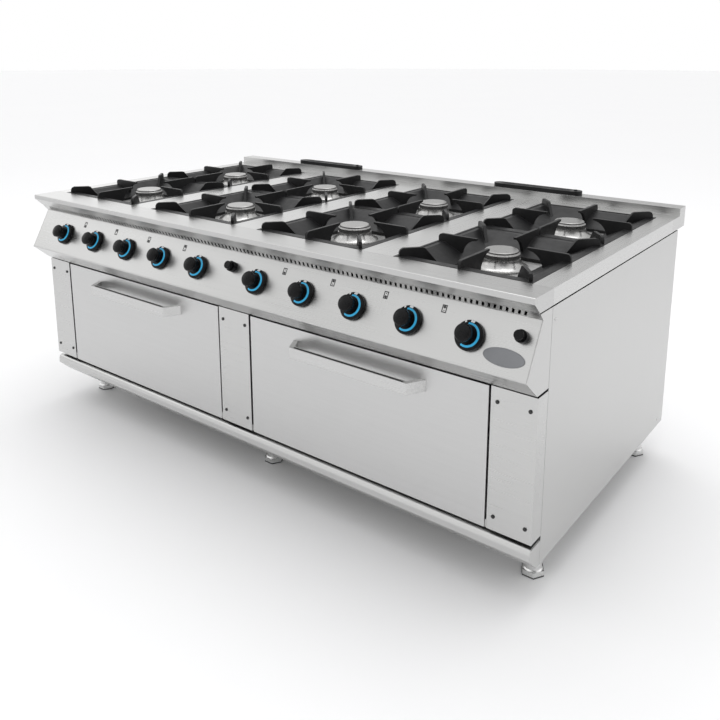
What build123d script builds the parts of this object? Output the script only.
from build123d import *
import math
import os

os.makedirs("parts", exist_ok=True)

# A free-standing gas range with eight open burners over two gas ovens.
# Millimetres. +X to the cook's right, +Y to the wall, +Z up.
# The origin is on the floor, under the middle of the overall box.

# ---------------------------------------------------------------- driving dimensions
width = 1600
depth = 900
worktop_z = 655
leg_height = 88
nose_y = -435.85

sheet = 1.5
gap = 5
run = 0.05
standing = (Align.CENTER, Align.CENTER, Align.MIN)
hanging = (Align.CENTER, Align.CENTER, Align.MAX)

burner_pitch = 400
well_width = 316

# Levels and depths that follow from them
half_width = width / 2
rear_y = nose_y + depth
front_y = nose_y + 35
body_rear_y = nose_y + 848
seam_y = nose_y + 78
well_front_y = nose_y + 79
well_rear_y = nose_y + 800
upstand_y = nose_y + 853
upstand_height = 20
well_length = well_rear_y - well_front_y
well_mid_y = (well_rear_y + well_front_y) / 2
well_xs = [burner_pitch * step for step in (-1.5, -0.5, 0.5, 1.5)]
row_ys = [well_mid_y - well_length / 4, well_mid_y + well_length / 4]
row_names = ["front", "rear"]

# Worktop edge and control panel outline, from the nose down to the cabinet
nose_face = 12
apron_top = worktop_z - 33
outline_b = (nose_y + 23, apron_top)
outline_c = (nose_y + 39, worktop_z - 51)
outline_d = (nose_y - 18, worktop_z - 153.5)
outline_e = (nose_y + 29, worktop_z - 194.5)

# Doors
door_top = worktop_z - 202
door_bottom = leg_height + 65
door_height = door_top - door_bottom
door_inner_x = 57
door_outer_x = 699
door_mid_x = (door_inner_x + door_outer_x) / 2
door_width = door_outer_x - door_inner_x
door_depth = 24
hinge_y = front_y + 11
hinge_z = door_bottom + 9
pin_radius = 4

# Oven cavity
cavity_width = 600
cavity_bottom = door_bottom + 29
cavity_top = door_top - 25
cavity_height = cavity_top - cavity_bottom
cavity_mid_z = (cavity_top + cavity_bottom) / 2
frame_y = front_y + 35
cavity_rear_y = frame_y + 660
cavity_depth = cavity_rear_y - frame_y


def finish(builder, name):
    """Labels a finished piece and writes it to its own file."""
    builder.part.label = name
    export_step(builder.part, f"parts/{name}.step")


def side_name(sign):
    """The cook's left is -X and the cook's right is +X."""
    return "left" if sign < 0 else "right"


# ---------------------------------------------------------------- worktop
# The top is folded from stainless sheet in three runs: a front strip with the
# bullnose, the lanes between the burner wells, and a rear strip with the upstand.
with BuildPart() as worktop_front:
    with BuildSketch(Plane.YZ):
        with BuildLine():
            Polyline(
                (well_front_y - 0.3, worktop_z - 14),
                (well_front_y - 0.3, worktop_z),
                (nose_y, worktop_z),
                (nose_y, worktop_z - nose_face),
                outline_b,
                (nose_y + 36, apron_top),
            )
            offset(amount=sheet, side=Side.LEFT, kind=Kind.INTERSECTION)
        make_face()
    extrude(amount=half_width, both=True)
    nose_edges = worktop_front.edges().filter_by(Axis.X).group_by(Axis.Y)[0]
    fillet(nose_edges.sort_by(Axis.Z)[-1], radius=2.5)
    # End plates close the bullnose at both ends and carry the side band forward
    with BuildSketch(Plane.YZ.offset(-half_width)) as end_outline:
        with BuildLine():
            Polyline(
                (well_front_y - 0.3, worktop_z - 0.2),
                (nose_y + 1.5, worktop_z - 0.2),
                (nose_y + 0.2, worktop_z - nose_face),
                outline_b,
                (well_front_y - 0.3, apron_top),
                close=True,
            )
        make_face()
    extrude(amount=sheet)
    with BuildSketch(Plane.YZ.offset(half_width - sheet)):
        add(end_outline.sketch_local)
    extrude(amount=sheet)
finish(worktop_front, "worktop_front")

lane_width = burner_pitch - well_width
edge_lane_width = half_width - well_xs[-1] - well_width / 2
lane_flange = 12
with BuildPart() as worktop_lanes:
    # Three inverted channels between the wells
    with BuildSketch(Plane.XZ.offset(-well_front_y)):
        for lane_x in (-burner_pitch, 0, burner_pitch):
            with BuildLine():
                Polyline(
                    (lane_x - lane_width / 2, worktop_z - lane_flange),
                    (lane_x - lane_width / 2, worktop_z),
                    (lane_x + lane_width / 2, worktop_z),
                    (lane_x + lane_width / 2, worktop_z - lane_flange),
                )
                offset(amount=sheet, side=Side.RIGHT, kind=Kind.INTERSECTION)
            make_face()
        # The two outer lanes turn down into the side bands
        for sign in (-1, 1):
            inner_x = sign * (half_width - edge_lane_width)
            with BuildLine():
                Polyline(
                    (inner_x, worktop_z - lane_flange),
                    (inner_x, worktop_z),
                    (sign * half_width, worktop_z),
                    (sign * half_width, apron_top),
                    (sign * (half_width - 12), apron_top),
                )
                inward = Side.RIGHT if sign > 0 else Side.LEFT
                offset(amount=sheet, side=inward, kind=Kind.INTERSECTION)
            make_face()
    extrude(amount=-well_length)
finish(worktop_lanes, "worktop_lanes")

grille_x = 390
flue_slot_length = 236
flue_slot_width = 22
upstand_mid_y = (upstand_y + rear_y) / 2
with BuildPart() as rear_upstand:
    with BuildSketch(Plane.YZ):
        with BuildLine():
            Polyline(
                (well_rear_y + 0.3, worktop_z - 14),
                (well_rear_y + 0.3, worktop_z),
                (upstand_y, worktop_z),
                (upstand_y, worktop_z + upstand_height),
                (rear_y, worktop_z + upstand_height),
                (rear_y, apron_top),
                (rear_y - 14, apron_top),
            )
            offset(amount=sheet, side=Side.RIGHT, kind=Kind.INTERSECTION)
        make_face()
    extrude(amount=half_width, both=True)
    with BuildSketch(Plane.YZ.offset(-half_width)) as end_outline:
        with BuildLine():
            Polyline(
                (well_rear_y + 0.3, worktop_z - 0.2),
                (upstand_y + 0.2, worktop_z - 0.2),
                (upstand_y + 0.2, worktop_z + upstand_height - 0.2),
                (rear_y - 0.2, worktop_z + upstand_height - 0.2),
                (rear_y - 0.2, apron_top),
                (well_rear_y + 0.3, apron_top),
                close=True,
            )
        make_face()
    extrude(amount=sheet)
    with BuildSketch(Plane.YZ.offset(half_width - sheet)):
        add(end_outline.sketch_local)
    extrude(amount=sheet)
    # Flue outlets through the top of the upstand
    with Locations((0, upstand_mid_y, worktop_z + upstand_height)):
        with GridLocations(2 * grille_x, 1, 2, 1):
            Box(flue_slot_length, flue_slot_width, 10, mode=Mode.SUBTRACT)
finish(rear_upstand, "rear_upstand")

grille_length = 272
grille_width = 40
grille_height = 11
grille_slit = 6
grille_slit_y = 6.5
grille_screw_inset = 18
grille_base = worktop_z + upstand_height
with BuildPart() as flue_grilles:
    for sign in (-1, 1):
        with BuildSketch(Plane.XY.offset(grille_base)):
            with Locations((sign * grille_x, upstand_mid_y)):
                SlotOverall(grille_length, grille_width - 4)
        extrude(amount=grille_height)
        with BuildSketch(Plane.XY.offset(grille_base - 1)):
            with Locations((sign * grille_x, upstand_mid_y)):
                with GridLocations(1, 2 * grille_slit_y, 1, 2):
                    SlotOverall(grille_length - 62, grille_slit)
        extrude(amount=grille_height + 2, mode=Mode.SUBTRACT)
        # Flange screw at the right-hand end
        screw_x = sign * grille_x + grille_length / 2 - grille_screw_inset
        with Locations((screw_x, upstand_mid_y, grille_base + grille_height)):
            Cylinder(5, 3, align=standing)
finish(flue_grilles, "flue_grilles")

# ---------------------------------------------------------------- burner wells
tray_wall_x = well_width / 2 - 5
tray_wall_y = well_length / 2 - 5
tray_floor = worktop_z - 38
ledge_top = worktop_z - 8
tray_height = ledge_top - tray_floor - 0.5
with BuildPart() as burner_wells:
    with Locations((0, well_mid_y)):
        with GridLocations(burner_pitch, 1, 4, 1):
            with Locations((0, 0, ledge_top)):
                Box(well_width - 0.8, well_length - 0.8, sheet, align=hanging)
            with Locations((0, 0, tray_floor)):
                Box(2 * tray_wall_x, 2 * tray_wall_y, tray_height, align=standing)
    with Locations((0, well_mid_y)):
        with GridLocations(burner_pitch, 1, 4, 1):
            with Locations((0, 0, tray_floor + sheet)):
                Box(
                    2 * (tray_wall_x - sheet),
                    2 * (tray_wall_y - sheet),
                    50,
                    align=standing,
                    mode=Mode.SUBTRACT,
                )
finish(burner_wells, "burner_wells")

# ---------------------------------------------------------------- burners
burner_base_radius = 58
burner_neck_radius = 41
crown_radius = 39.5
crown_bottom = worktop_z - 14
crown_top = worktop_z - 3
cap_radius = 36
skirt_radius = 27
flame_slots = 60
flame_slot_depth = 5
flame_slot_width = 1.6
flame_slot_height = 7.5
cap_top = worktop_z + 3
venturi_radius = 14
with BuildPart() as burner_bodies:
    for row_y in row_ys:
        for well_x in well_xs:
            with BuildSketch(Plane.XZ.offset(-row_y)):
                with BuildLine():
                    flare_top = (well_x + burner_neck_radius, crown_bottom - 0.4)
                    flare_mid = (well_x + burner_neck_radius + 6, crown_bottom - 14)
                    flare_foot = (well_x + burner_base_radius, tray_floor + sheet + 3)
                    Polyline(
                        flare_foot,
                        (well_x + burner_base_radius, tray_floor + sheet + 0.4),
                        (well_x + venturi_radius, tray_floor + sheet + 0.4),
                        (well_x + venturi_radius, crown_bottom - 0.4),
                        flare_top,
                    )
                    ThreePointArc(flare_top, flare_mid, flare_foot)
                make_face()
            revolve(axis=Axis((well_x, row_y, 0), (0, 0, 1)))
finish(burner_bodies, "burner_bodies")


def burner_cap(name, x, y):
    """A lift-off cap: a satin disc over a slotted flame crown, with a hollow skirt."""
    with BuildPart() as cap:
        with BuildSketch(Plane.XZ.offset(-y)):
            with BuildLine():
                Polyline(
                    (x + skirt_radius, crown_bottom),
                    (x + crown_radius, crown_bottom),
                    (x + crown_radius, crown_top - 1),
                    (x + cap_radius + 1, crown_top),
                    (x + cap_radius, crown_top + 1.5),
                    (x + cap_radius, cap_top - 1.5),
                    (x + cap_radius - 1.5, cap_top),
                    (x, cap_top),
                    (x, crown_top - 2),
                    (x + skirt_radius, crown_top - 2),
                    close=True,
                )
            make_face()
        revolve(axis=Axis((x, y, 0), (0, 0, 1)))
        with Locations((x, y, crown_bottom + 1.5)):
            with PolarLocations(crown_radius, flame_slots):
                Box(
                    flame_slot_depth,
                    flame_slot_width,
                    flame_slot_height,
                    align=standing,
                    mode=Mode.SUBTRACT,
                )
    finish(cap, name)


# ---------------------------------------------------------------- pan supports
fin_top = worktop_z + 17
fin_thickness = 7
tip_radius = 60
rim_top = worktop_z + 0.5
rim_bottom = ledge_top + 0.3
bowl_opening = 156
bowl_top = rim_top - 1
bowl_lip = worktop_z - 29
bowl_wall = 6


def upright_plane(x, y, direction):
    """A vertical plane through the burner centre, with its local x along the given direction."""
    return Plane(origin=(x, y, 0), x_dir=direction, z_dir=direction.cross(Vector(0, 0, 1)))


def pan_support(name, x, y):
    """A cast grid: a flush rim, four sloped webs that fall to the burner, and eight fins."""
    half_x = well_width / 2 - 0.7
    half_y = well_length / 4 - 0.7
    rim = 6
    with BuildPart() as support:
        with BuildSketch(Plane.XY.offset(rim_bottom)):
            with Locations((x, y)):
                Rectangle(2 * half_x, 2 * half_y)
        extrude(amount=rim_top - rim_bottom)
        with BuildSketch(Plane.XY.offset(rim_bottom)):
            with Locations((x, y)):
                Rectangle(2 * (half_x - rim), 2 * (half_y - rim))
        extrude(amount=rim_top - rim_bottom, mode=Mode.SUBTRACT)
        # Webs: an upright pyramid shell, open at the burner
        with BuildSketch(Plane.XY.offset(bowl_top)):
            with Locations((x, y)):
                Rectangle(2 * (half_x - rim) + 0.4, 2 * (half_y - rim) + 0.4)
        with BuildSketch(Plane.XY.offset(bowl_lip - bowl_wall)):
            with Locations((x, y)):
                Rectangle(bowl_opening + 2, bowl_opening + 2)
        loft()
        with BuildSketch(Plane.XY.offset(bowl_top + bowl_wall)):
            with Locations((x, y)):
                Rectangle(2 * (half_x - rim) + 0.4, 2 * (half_y - rim) + 0.4)
        with BuildSketch(Plane.XY.offset(bowl_lip)):
            with Locations((x, y)):
                Rectangle(bowl_opening, bowl_opening)
        loft(mode=Mode.SUBTRACT)
        with Locations((x, y, bowl_lip)):
            Box(bowl_opening - 4, bowl_opening - 4, 40, mode=Mode.SUBTRACT)
        # Long fingers from the middle of each side point at the burner
        side_reaches = ((Vector(1, 0, 0), half_x - 1), (Vector(0, 1, 0), half_y - 1))
        for direction, reach in side_reaches + tuple((way * -1, far) for way, far in side_reaches):
            with BuildSketch(upright_plane(x, y, direction)):
                with BuildLine():
                    shoulder = (reach, fin_top - 9)
                    top_start = (reach - 9, fin_top)
                    tip_bottom = (tip_radius + 1, fin_top - 5)
                    beak_root = (tip_radius + 36, bowl_lip + 8)
                    RadiusArc(shoulder, top_start, -9)
                    Polyline(top_start, (tip_radius, fin_top), tip_bottom)
                    ThreePointArc(tip_bottom, (tip_radius + 24, fin_top - 15), beak_root)
                    Polyline(beak_root, (reach - rim - 4, rim_bottom), (reach, rim_bottom), shoulder)
                make_face()
            extrude(amount=fin_thickness / 2, both=True)
        # Short fingers stand in the corners of the rim
        corner_reach = math.hypot(half_x, half_y) - 12
        corner_foot = corner_reach - 86
        for sign_x in (-1, 1):
            for sign_y in (-1, 1):
                direction = Vector(sign_x * half_x, sign_y * half_y, 0).normalized()
                with BuildSketch(upright_plane(x, y, direction)):
                    with BuildLine():
                        Polyline(
                            (corner_reach, rim_bottom),
                            (corner_reach, fin_top - 9),
                            (corner_reach - 3, fin_top - 3),
                            (corner_reach - 9, fin_top),
                            (corner_reach - 50, fin_top),
                            (corner_reach - 56, fin_top - 2),
                            (corner_foot, bowl_lip + 9),
                            (corner_foot, bowl_lip + 6),
                            (corner_reach - 24, rim_bottom),
                            close=True,
                        )
                    make_face()
                extrude(amount=fin_thickness / 2, both=True)
    finish(support, name)


for row_name, row_y in zip(row_names, row_ys):
    for number, well_x in enumerate(well_xs, start=1):
        burner_cap(f"burner_cap_{row_name}_{number}", well_x, row_y)
        pan_support(f"pan_support_{row_name}_{number}", well_x, row_y)

# ---------------------------------------------------------------- control panel
# The panel is one bent sheet: a slotted vent strip under the bullnose, the sloped
# face that carries the knobs, and an underside that returns to the cabinet.
face_run = Vector(0, outline_d[0] - outline_c[0], outline_d[1] - outline_c[1])
face_down = face_run.normalized()
face_normal = Vector(0, face_down.Z, -face_down.Y)
face_centre = Vector(0, (outline_c[0] + outline_d[0]) / 2, (outline_c[1] + outline_d[1]) / 2)
strip_down = Vector(0, outline_c[0] - outline_b[0], outline_c[1] - outline_b[1]).normalized()
strip_normal = Vector(0, strip_down.Z, -strip_down.Y)
strip_centre = Vector(0, (outline_b[0] + outline_c[0]) / 2, (outline_b[1] + outline_c[1]) / 2)

slot_pitch = 12.4
slot_count = 125
slot_width = 5
slot_length = 18
slot_lean = -22
knob_xs = [-664, -520, -377, -235, -92, 109, 251, 392, 531, 669]
igniter_xs = [22, 771]
igniter_lift = 21
spindle_radius = 4
spindle_hole = 6
bezel_radius = 12.5
bezel_shank_radius = 10.7


def face_plane(x, lift=0.0, up=0.0):
    """A plane on the sloped face, with its normal out towards the cook."""
    origin = face_centre + Vector(x, 0, 0) + face_normal * lift - face_down * up
    return Plane(origin=origin, x_dir=(1, 0, 0), z_dir=face_normal)


with BuildPart() as control_panel:
    with BuildSketch(Plane.YZ):
        with BuildLine():
            Polyline(
                (nose_y + 74, outline_b[1] - 0.5),
                (outline_b[0] + 0.5, outline_b[1] - 0.5),
                outline_c,
                outline_d,
                outline_e,
                (nose_y + 74, outline_e[1]),
            )
            offset(amount=sheet, side=Side.LEFT, kind=Kind.INTERSECTION)
        make_face()
    extrude(amount=half_width - sheet - 0.3, both=True)
    lower_bend = control_panel.edges().filter_by(Axis.X).group_by(Axis.Y)[0]
    fillet(lower_bend, radius=4)
    # Slanted vent slots
    with BuildSketch(Plane(origin=strip_centre, x_dir=(1, 0, 0), z_dir=strip_normal)):
        with GridLocations(slot_pitch, 1, slot_count, 1):
            Rectangle(slot_width, slot_length, rotation=slot_lean)
    extrude(amount=3, both=True, mode=Mode.SUBTRACT)
    # Spindle holes and igniter holes
    for knob_x in knob_xs:
        with BuildSketch(face_plane(knob_x)):
            Circle(spindle_hole)
        extrude(amount=4, both=True, mode=Mode.SUBTRACT)
    for igniter_x in igniter_xs:
        with BuildSketch(face_plane(igniter_x, up=igniter_lift)):
            Circle(bezel_shank_radius + 0.3)
        extrude(amount=4, both=True, mode=Mode.SUBTRACT)
finish(control_panel, "control_panel")

with BuildPart() as panel_end_cheeks:
    for sign in (-1, 1):
        with BuildSketch(Plane.YZ.offset(sign * (half_width - sheet / 2))):
            with BuildLine():
                Polyline(
                    (seam_y - 0.5, outline_b[1] - 3),
                    (outline_b[0] + 2.6, outline_b[1] - 3),
                    outline_c,
                    outline_d,
                    outline_e,
                    (seam_y - 0.5, outline_e[1]),
                    close=True,
                )
            make_face()
        extrude(amount=sheet / 2, both=True)
finish(panel_end_cheeks, "panel_end_cheeks")

# ---------------------------------------------------------------- knobs and igniters
knob_lift = 1
flange_radius = 29.5
grip_radius = 17.7
knob_height = 39
spindle_reach = 24


def knob(name, x):
    """A push-on knob: a flange with a sloped dial ring, a neck, and a domed grip."""
    plane = face_plane(x, lift=knob_lift)
    with BuildPart() as body:
        with BuildSketch(Plane(origin=plane.origin, x_dir=plane.x_dir, z_dir=plane.y_dir * -1)):
            with BuildLine():
                dome_edge = (grip_radius - 2.5, knob_height - 3.5)
                TangentArc((0, knob_height), dome_edge, tangent=(1, 0))
                Polyline(
                    (0, knob_height),
                    (0, 0),
                    (flange_radius - 1, 0),
                    (flange_radius, 1),
                    (flange_radius, 6.5),
                    (flange_radius - 1.5, 8),
                    (grip_radius + 2, 11.5),
                    (grip_radius - 3, 11.5),
                    (grip_radius - 3, knob_height - 15),
                    (grip_radius - 0.5, knob_height - 12),
                    (grip_radius, knob_height - 7),
                    dome_edge,
                )
            make_face()
        revolve(axis=Axis(plane.origin, face_normal))
        with BuildSketch(plane):
            Circle(spindle_radius + run)
        extrude(amount=spindle_reach, mode=Mode.SUBTRACT)
        # A finger flat on each side of the neck
        with BuildSketch(face_plane(x, lift=knob_lift + 12.5)):
            with GridLocations(2 * grip_radius - 3, 1, 2, 1):
                Rectangle(5, 12)
        extrude(amount=5, mode=Mode.SUBTRACT)
    finish(body, name)


knob_names = [f"knob_burner_{n}" for n in range(1, 5)] + ["knob_oven_left", "knob_oven_right"]
knob_names += [f"knob_burner_{n}" for n in range(5, 9)]
for name, knob_x in zip(knob_names, knob_xs):
    knob(name, knob_x)

button_radius = 9.5
button_start = -4
button_length = 28
bezel_height = 12
with BuildPart() as igniter_bezels:
    for igniter_x in igniter_xs:
        with BuildSketch(face_plane(igniter_x, lift=0.2, up=igniter_lift)):
            Circle(bezel_radius)
            Circle(button_radius + run, mode=Mode.SUBTRACT)
        extrude(amount=bezel_height)
        with BuildSketch(face_plane(igniter_x, lift=0.2, up=igniter_lift)):
            Circle(bezel_shank_radius)
            Circle(button_radius + run, mode=Mode.SUBTRACT)
        extrude(amount=-14)
finish(igniter_bezels, "igniter_bezels")

for igniter_x, name in zip(igniter_xs, ("igniter_button_left", "igniter_button_right")):
    with BuildPart() as button:
        with BuildSketch(face_plane(igniter_x, lift=button_start, up=igniter_lift)):
            Circle(button_radius)
        extrude(amount=button_length)
        round_edges = button.edges().filter_by(GeomType.CIRCLE)
        fillet(round_edges.sort_by(Axis(face_centre, face_normal))[-1], radius=1.2)
    finish(button, name)

# ---------------------------------------------------------------- gas train behind the panel
tap_radius = 13
tap_depth = 34
manifold_radius = 13.5
manifold_centre = face_centre + face_normal * -(tap_depth + 22)
inlet_x = 730
inlet_pipe_radius = 11
inlet_radius = 13.22
inlet_length = 28
with BuildPart() as gas_taps:
    for knob_x in knob_xs:
        with BuildSketch(face_plane(knob_x, lift=-6)):
            Circle(tap_radius)
        extrude(amount=-tap_depth + 2)
        with BuildSketch(face_plane(knob_x, lift=-6)):
            Circle(spindle_radius)
        extrude(amount=6 + knob_lift + spindle_reach - 2)
finish(gas_taps, "gas_taps")

pipe_radius = 5
injector_z = tray_floor - 32
burner_knob_xs = [x for x, name in zip(knob_xs, knob_names) if "burner" in name]
with BuildPart() as gas_pipework:
    # Manifold with a cap at each end
    with BuildSketch(Plane.YZ):
        with Locations((manifold_centre.Y, manifold_centre.Z)):
            Circle(manifold_radius)
    extrude(amount=half_width - 60, both=True)
    for sign in (-1, 1):
        with BuildSketch(Plane.YZ.offset(sign * (half_width - 60))):
            with Locations((manifold_centre.Y, manifold_centre.Z)):
                RegularPolygon(19, 6)
        extrude(amount=sign * 8)
    # Supply pipe to the threaded inlet at the back
    with BuildSketch(Plane.XZ.offset(-manifold_centre.Y)):
        with Locations((inlet_x, manifold_centre.Z)):
            Circle(inlet_pipe_radius)
    extrude(amount=-(body_rear_y - manifold_centre.Y))
    with BuildSketch(Plane.XZ.offset(-body_rear_y + 2)):
        with Locations((inlet_x, manifold_centre.Z)):
            Circle(inlet_radius)
    extrude(amount=-inlet_length)
    with BuildSketch(Plane.XZ.offset(-body_rear_y - inlet_length + 22)):
        with Locations((inlet_x, manifold_centre.Z)):
            Circle(inlet_pipe_radius - 3)
    extrude(amount=-22, mode=Mode.SUBTRACT)
    # One feed pipe from each tap to its injector
    for number, well_x in enumerate(well_xs):
        for row_number, row_y in enumerate(row_ys):
            tap_x = burner_knob_xs[2 * number + row_number]
            start_y = manifold_centre.Y + 26
            level = manifold_centre.Z - 24 - 14 * row_number
            with BuildLine():
                route = FilletPolyline(
                    (tap_x, start_y, manifold_centre.Z - 2),
                    (tap_x, start_y, level),
                    (tap_x, start_y + 60 + 20 * row_number, level),
                    (well_x + 30 * (row_number - 0.5), start_y + 60 + 20 * row_number, level),
                    (well_x + 30 * (row_number - 0.5), row_y - 30, level),
                    (well_x + 30 * (row_number - 0.5), row_y - 30, injector_z - 4),
                    radius=9,
                )
            with BuildSketch(Plane(origin=route @ 0, z_dir=route % 0)):
                Circle(pipe_radius)
            sweep()
finish(gas_pipework, "gas_pipework")

# ---------------------------------------------------------------- cabinet shells
cabinet_top = outline_e[1] - 5.5
with BuildPart() as cover_panels:
    # Two outer covers wrap round the corner and one plain cover stands between the doors
    with BuildSketch(Plane.XY.offset(door_bottom)):
        for sign in (-1, 1):
            with BuildLine():
                Polyline(
                    (sign * (door_outer_x + gap), front_y + 20),
                    (sign * (door_outer_x + gap), front_y),
                    (sign * half_width, front_y),
                    (sign * half_width, seam_y - 0.5),
                )
                inward = Side.RIGHT if sign < 0 else Side.LEFT
                offset(amount=sheet, side=inward, kind=Kind.INTERSECTION)
            make_face()
        with BuildLine():
            Polyline(
                (-door_inner_x + gap, front_y + 20),
                (-door_inner_x + gap, front_y),
                (door_inner_x - gap, front_y),
                (door_inner_x - gap, front_y + 20),
            )
            offset(amount=sheet, side=Side.LEFT, kind=Kind.INTERSECTION)
        make_face()
    extrude(amount=cabinet_top - door_bottom)
finish(cover_panels, "cover_panels")

screw_inset = 14
screw_rise = 30
cover_mid_z = (cabinet_top + door_bottom) / 2
outer_cover_x = (half_width + door_outer_x + gap) / 2
outer_cover_width = half_width - door_outer_x - gap
screw_spacing_z = cabinet_top - door_bottom - 2 * screw_rise
screw_head = 4
with BuildPart() as cover_screws:
    screw_plane = Plane(origin=(0, front_y - 0.1, cover_mid_z), x_dir=(1, 0, 0), z_dir=(0, -1, 0))
    with BuildSketch(screw_plane):
        for cover_x, cover_width in (
            (-outer_cover_x, outer_cover_width),
            (0, 2 * (door_inner_x - gap)),
            (outer_cover_x, outer_cover_width),
        ):
            with Locations((cover_x, 0)):
                with GridLocations(cover_width - 2 * screw_inset, screw_spacing_z, 2, 2):
                    Circle(screw_head)
    extrude(amount=2)
    chamfer(cover_screws.faces().filter_by(Axis.Y).group_by(Axis.Y)[0].edges(), length=0.8)
finish(cover_screws, "cover_screws")

body_bottom = leg_height
side_top = apron_top - 3
with BuildPart() as side_panels:
    with BuildSketch(Plane.XY.offset(body_bottom)):
        for sign in (-1, 1):
            with BuildLine():
                Polyline(
                    (sign * (half_width - 18), seam_y + 0.5),
                    (sign * half_width, seam_y + 0.5),
                    (sign * half_width, body_rear_y),
                    (sign * (half_width - 18), body_rear_y),
                )
                inward = Side.RIGHT if sign < 0 else Side.LEFT
                offset(amount=sheet, side=inward, kind=Kind.INTERSECTION)
            make_face()
    extrude(amount=side_top - body_bottom)
finish(side_panels, "side_panels")

with BuildPart() as rear_panel:
    with Locations((0, body_rear_y - sheet - 0.2, body_bottom + sheet + 0.5)):
        Box(
            2 * half_width - 2 * sheet - 0.8,
            sheet,
            side_top - body_bottom - 6,
            align=(Align.CENTER, Align.MAX, Align.MIN),
        )
    with BuildSketch(Plane.XZ.offset(-body_rear_y)):
        with Locations((inlet_x, manifold_centre.Z)):
            Circle(inlet_radius + 2)
    extrude(amount=10, mode=Mode.SUBTRACT)
    # Louvres let room air in behind the burners
    with Locations((0, body_rear_y - sheet, side_top - 70)):
        with GridLocations(120, 16, 10, 3):
            Box(80, 10, 5, mode=Mode.SUBTRACT)
finish(rear_panel, "rear_panel")

rail_top = door_bottom - 10
rail_nose_z = door_bottom - 36
rail_front_y = front_y - 1
rail_round = 14
with BuildPart() as kick_rail:
    with BuildSketch(Plane.YZ):
        with BuildLine():
            Line((seam_y, rail_top), (rail_front_y + rail_round, rail_top))
            ThreePointArc(
                (rail_front_y + rail_round, rail_top),
                (rail_front_y + 0.293 * rail_round, rail_top - 0.293 * rail_round),
                (rail_front_y, rail_top - rail_round),
            )
            Polyline(
                (rail_front_y, rail_top - rail_round),
                (rail_front_y, rail_nose_z),
                (rail_front_y + 30, body_bottom),
                (seam_y, body_bottom),
            )
            offset(amount=sheet, side=Side.LEFT, kind=Kind.INTERSECTION)
        make_face()
    extrude(amount=half_width - sheet - 0.2, both=True)
    for sign in (-1, 1):
        with BuildSketch(Plane.YZ.offset(sign * (half_width - 1))):
            with BuildLine():
                Polyline(
                    (seam_y - 0.3, rail_top - 1),
                    (rail_front_y + 9, rail_top - 1),
                    (rail_front_y + 3, rail_top - 5),
                    (rail_front_y, rail_top - 12),
                    (rail_front_y, rail_nose_z),
                    (rail_front_y + 30, body_bottom),
                    (seam_y - 0.3, body_bottom),
                    close=True,
                )
            make_face()
        extrude(amount=1, both=True)
finish(kick_rail, "kick_rail")

with BuildPart() as base_pan:
    with BuildSketch(Plane.YZ):
        with BuildLine():
            Polyline(
                (seam_y + 2.5, rail_top + 8),
                (seam_y + 2.5, body_bottom),
                (body_rear_y - 5, body_bottom),
                (body_rear_y - 5, rail_top + 8),
            )
            offset(amount=sheet, side=Side.LEFT, kind=Kind.INTERSECTION)
        make_face()
    extrude(amount=half_width - sheet - 0.5, both=True)
finish(base_pan, "base_pan")

foot_xs = (-750, 0, 750)
foot_ys = (front_y + 128, body_rear_y - 57)
foot_across_flats = 44
with BuildPart() as feet:
    for foot_x in foot_xs:
        for foot_y in foot_ys:
            with BuildSketch():
                with Locations((foot_x, foot_y)):
                    RegularPolygon(foot_across_flats / 2, 6, major_radius=False)
            extrude(amount=13)
            with BuildSketch(Plane.XY.offset(13)):
                with Locations((foot_x, foot_y)):
                    Circle(foot_across_flats / 2 - 1)
            extrude(amount=5, taper=30)
            with BuildSketch(Plane.XY.offset(16)):
                with Locations((foot_x, foot_y)):
                    Circle(19)
            extrude(amount=body_bottom - 16 - 0.1)
finish(feet, "feet")

# ---------------------------------------------------------------- oven front frame
with BuildPart() as oven_front_frame:
    with BuildSketch(Plane.XZ.offset(-frame_y)):
        frame_bottom = rail_top + 9
        with Locations((0, (cabinet_top + frame_bottom) / 2)):
            Rectangle(2 * (half_width - sheet - 20), cabinet_top - frame_bottom)
        with Locations((-door_mid_x, cavity_mid_z), (door_mid_x, cavity_mid_z)):
            RectangleRounded(cavity_width, cavity_height, 12, mode=Mode.SUBTRACT)
    extrude(amount=-2)
    # Hinge lugs reach forward in the gaps beside the doors
    for sign in (-1, 1):
        for lug_x in (door_inner_x - gap / 2, door_outer_x + gap / 2):
            with BuildSketch(Plane.YZ.offset(sign * lug_x - 1.5)):
                with Locations(((frame_y + hinge_y) / 2 - 3, hinge_z)):
                    Rectangle(frame_y - hinge_y + 6 + 8, 16)
                with Locations((hinge_y, hinge_z)):
                    Circle(pin_radius, mode=Mode.SUBTRACT)
            extrude(amount=3)
finish(oven_front_frame, "oven_front_frame")

pin_reach = 16
with BuildPart() as door_hinge_pins:
    for sign in (-1, 1):
        for lug_x, inward in ((door_inner_x - gap / 2, 1), (door_outer_x + gap / 2, -1)):
            with BuildSketch(Plane.YZ.offset(sign * (lug_x - inward * 1.5))):
                with Locations((hinge_y, hinge_z)):
                    Circle(pin_radius)
            extrude(amount=sign * inward * pin_reach)
finish(door_hinge_pins, "door_hinge_pins")

seal_width = 9
seal_depth = 10.8
with BuildPart() as door_seals:
    with BuildSketch(Plane.XZ.offset(-frame_y)):
        with Locations((-door_mid_x, cavity_mid_z), (door_mid_x, cavity_mid_z)):
            RectangleRounded(cavity_width + 2 * seal_width, cavity_height + 2 * seal_width, 20)
            RectangleRounded(cavity_width, cavity_height, 12, mode=Mode.SUBTRACT)
    extrude(amount=seal_depth)
finish(door_seals, "door_seals")

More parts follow.
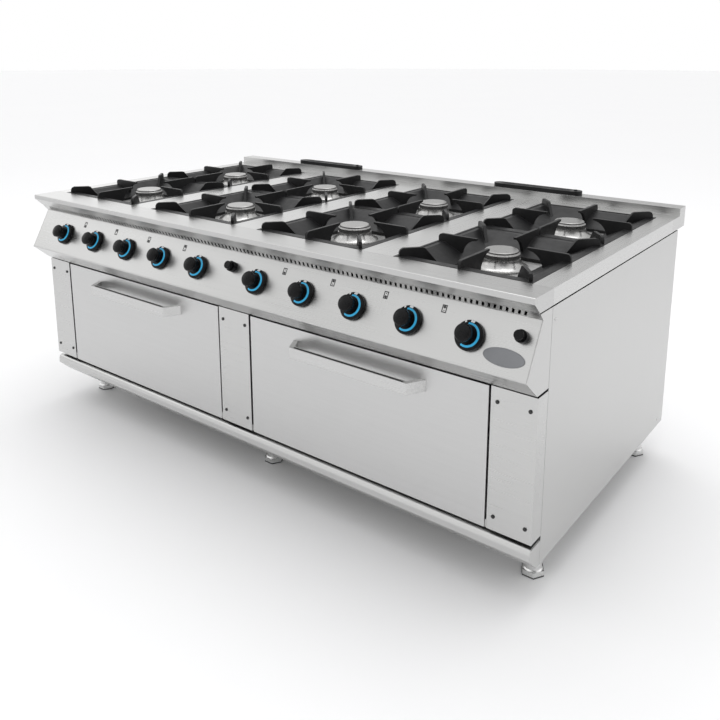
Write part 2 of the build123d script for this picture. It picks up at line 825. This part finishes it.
# ---------------------------------------------------------------- doors
skin = 1.5
handle_length = 360
handle_height = 25
handle_drop = 27
handle_proud = 40
bar_depth = 11
boss_length = 10
inner_panel_y = front_y + door_depth - 0.3
for sign in (-1, 1):
    mid_x = sign * door_mid_x
    with BuildPart() as door_skin:
        with Locations((mid_x, front_y, door_bottom)):
            Box(door_width, door_depth, door_height, align=(Align.CENTER, Align.MIN, Align.MIN))
        upright_corners = door_skin.edges().filter_by(Axis.Z).group_by(Axis.Y)[0]
        fillet(upright_corners, radius=2)
        with Locations((mid_x, front_y + skin, door_bottom + skin)):
            Box(
                door_width - 2 * skin,
                door_depth,
                door_height - 2 * skin,
                align=(Align.CENTER, Align.MIN, Align.MIN),
                mode=Mode.SUBTRACT,
            )
        # Bored hinge bosses in the two bottom corners
        for corner in (-1, 1):
            with BuildSketch(Plane.YZ.offset(mid_x + corner * (door_width / 2 - skin / 2))):
                with Locations((hinge_y, hinge_z)):
                    Circle(pin_radius + 3)
            extrude(amount=-corner * (boss_length + skin / 2))
            with BuildSketch(Plane.YZ.offset(mid_x + corner * (door_width / 2 + 1))):
                with Locations((hinge_y, hinge_z)):
                    Circle(pin_radius + run)
            extrude(amount=-corner * (boss_length + 8), mode=Mode.SUBTRACT)
    finish(door_skin, f"door_skin_{side_name(sign)}")

    with BuildPart() as door_inner:
        with BuildSketch(Plane.XZ.offset(-inner_panel_y)):
            with Locations((mid_x, (door_top + door_bottom) / 2 + 6)):
                Rectangle(door_width - 2 * skin - 1, door_height - 2 * skin - 13)
        extrude(amount=2)
        with BuildSketch(Plane.XZ.offset(-inner_panel_y + 2)):
            with Locations((mid_x, cavity_mid_z)):
                RectangleRounded(cavity_width - 60, cavity_height - 60, 10)
        extrude(amount=2)
        # Side tabs locate the panel between the skin's returns
        with Locations((mid_x, inner_panel_y - 2, (door_top + door_bottom) / 2 + 6)):
            with GridLocations(door_width - 2 * skin - 12, 1, 2, 1):
                Box(3, 12, door_height - 60, align=(Align.CENTER, Align.MAX, Align.CENTER))
    finish(door_inner, f"door_inner_panel_{side_name(sign)}")

    handle_z = door_top - handle_drop - handle_height
    with BuildPart() as handle:
        with BuildSketch(Plane.XY.offset(handle_z)):
            with BuildLine():
                Polyline(
                    (mid_x - handle_length / 2, front_y - 0.1),
                    (mid_x - handle_length / 2 + 22, front_y - handle_proud),
                    (mid_x + handle_length / 2 - 22, front_y - handle_proud),
                    (mid_x + handle_length / 2, front_y - 0.1),
                    (mid_x + handle_length / 2 - 13, front_y - 0.1),
                    (mid_x + handle_length / 2 - 29, front_y - handle_proud + bar_depth),
                    (mid_x - handle_length / 2 + 29, front_y - handle_proud + bar_depth),
                    (mid_x - handle_length / 2 + 13, front_y - 0.1),
                    close=True,
                )
            make_face()
        extrude(amount=handle_height)
        # The bar is a channel, open along its top
        with Locations((mid_x, front_y - handle_proud + bar_depth / 2, handle_z + handle_height)):
            Box(
                handle_length - 64,
                bar_depth - 5,
                handle_height - 4,
                align=hanging,
                mode=Mode.SUBTRACT,
            )
    finish(handle, f"door_handle_{side_name(sign)}")

# ---------------------------------------------------------------- ovens
liner_wall = 1.5
runner_heights = (cavity_bottom + 50, cavity_bottom + 105, cavity_bottom + 160)
runner_reach = 14
duct_front_y = well_rear_y + 3
duct_rear_y = body_rear_y - 8
riser_front_y = upstand_y + 9
riser_rear_y = rear_y - 9
duct_knee_z = side_top + 6
# Each flue is four joined runs: (front y, rear y, bottom z, top z)
duct_runs = (
    (cavity_rear_y + 2, duct_rear_y, cavity_top - 26, cavity_top),
    (duct_front_y, duct_rear_y, cavity_top - 26, worktop_z - 5),
    (duct_front_y, riser_rear_y, duct_knee_z, worktop_z - 5),
    (riser_front_y, riser_rear_y, duct_knee_z, worktop_z + upstand_height - 3),
)
with BuildPart() as oven_liners:
    for sign in (-1, 1):
        mid_x = sign * door_mid_x
        with Locations((mid_x, frame_y + 2.3, cavity_mid_z)):
            Box(
                cavity_width + 2 * liner_wall,
                cavity_depth + liner_wall,
                cavity_height + 2 * liner_wall,
                align=(Align.CENTER, Align.MIN, Align.CENTER),
            )
        # Flue duct from the back of the oven up to the outlet
        for front, rear, bottom, top in duct_runs:
            with Locations((sign * grille_x, (front + rear) / 2, (bottom + top) / 2)):
                Box(flue_slot_length, rear - front, top - bottom)
    for sign in (-1, 1):
        mid_x = sign * door_mid_x
        with Locations((mid_x, frame_y, cavity_mid_z)):
            Box(
                cavity_width,
                cavity_depth + 2,
                cavity_height,
                align=(Align.CENTER, Align.MIN, Align.CENTER),
                mode=Mode.SUBTRACT,
            )
        for front, rear, bottom, top in duct_runs:
            with Locations((sign * grille_x, (front + rear) / 2, (bottom + top) / 2)):
                Box(
                    flue_slot_length - 2 * liner_wall,
                    rear - front - 2 * liner_wall,
                    top - bottom - 2 * liner_wall,
                    mode=Mode.SUBTRACT,
                )
        # The flue is open into the oven and at its outlet
        with Locations((sign * grille_x, cavity_rear_y, cavity_top - 13)):
            Box(flue_slot_length - 40, 12, 20, mode=Mode.SUBTRACT)
        riser_mid_y = (riser_front_y + riser_rear_y) / 2
        with Locations((sign * grille_x, riser_mid_y, worktop_z + upstand_height - 3)):
            Box(flue_slot_length - 6, flue_slot_width - 2, 12, mode=Mode.SUBTRACT)
        # Shelf runners are folded out of both side walls
        for wall in (-1, 1):
            for runner_z in runner_heights:
                with Locations((mid_x + wall * cavity_width / 2, frame_y + 30, runner_z)):
                    Box(
                        2 * runner_reach,
                        cavity_depth - 60,
                        2,
                        align=(Align.CENTER, Align.MIN, Align.MAX),
                    )
        with Locations((mid_x, frame_y, cavity_mid_z)):
            with GridLocations(cavity_width + 2 * runner_reach + 2 * liner_wall, 1, 2, 1):
                Box(2 * runner_reach, 2 * cavity_depth, cavity_height, mode=Mode.SUBTRACT)
finish(oven_liners, "oven_liners")

with BuildPart() as oven_soles:
    for sign in (-1, 1):
        with Locations((sign * door_mid_x, frame_y + 20, cavity_bottom + 0.4)):
            Box(cavity_width - 6, cavity_depth - 30, 4, align=(Align.CENTER, Align.MIN, Align.MIN))
    with Locations((0, frame_y + cavity_depth / 2 + 5, cavity_bottom + 2)):
        with GridLocations(2 * door_mid_x, 1, 2, 1):
            with GridLocations(cavity_width - 60, cavity_depth / 6, 2, 5):
                Box(18, 70, 10, mode=Mode.SUBTRACT)
finish(oven_soles, "oven_soles")

oven_burner_radius = 15
oven_burner_z = body_bottom + 46
with BuildPart() as oven_burners:
    for sign in (-1, 1):
        for offset_x in (-120, 120):
            with BuildSketch(Plane.XZ.offset(-frame_y - 60)):
                with Locations((sign * door_mid_x + offset_x, oven_burner_z)):
                    Circle(oven_burner_radius)
                    Circle(oven_burner_radius - 2, mode=Mode.SUBTRACT)
            extrude(amount=-cavity_depth + 140)
        with Locations((sign * door_mid_x, frame_y + 50, oven_burner_z)):
            Box(2 * 120 + 40, 20, 20)
finish(oven_burners, "oven_burners")

shelf_wire = 3
rod_wire = 2
shelf_width = cavity_width - 8
shelf_depth = cavity_depth - 50
shelf_z = runner_heights[1] + 0.3
shelf_mid_y = cavity_rear_y - 8 - shelf_depth / 2
for sign in (-1, 1):
    mid_x = sign * door_mid_x
    half_shelf_x = shelf_width / 2 - shelf_wire
    half_shelf_y = shelf_depth / 2 - shelf_wire
    with BuildPart() as shelf:
        # A bent rim bar round the outside, with rack rods and three cross rods let into it
        rim_z = shelf_z + shelf_wire
        with BuildSketch(Plane.XY.offset(shelf_z)):
            with Locations((mid_x, shelf_mid_y)):
                RectangleRounded(shelf_width, shelf_depth, 14)
                inner_x = 2 * half_shelf_x - shelf_wire
                inner_y = 2 * half_shelf_y - shelf_wire
                RectangleRounded(inner_x, inner_y, 10, mode=Mode.SUBTRACT)
        extrude(amount=2 * shelf_wire)
        with BuildSketch(Plane.XZ.offset(-shelf_mid_y - half_shelf_y)):
            with Locations((mid_x, rim_z)):
                with GridLocations(26, 1, 21, 1):
                    Circle(rod_wire)
        extrude(amount=2 * half_shelf_y)
        with BuildSketch(Plane.YZ.offset(mid_x - half_shelf_x)):
            with Locations((shelf_mid_y, rim_z)):
                with GridLocations(half_shelf_y, 1, 3, 1):
                    Circle(shelf_wire - 0.5)
        extrude(amount=2 * half_shelf_x)
    finish(shelf, f"oven_shelf_{side_name(sign)}")
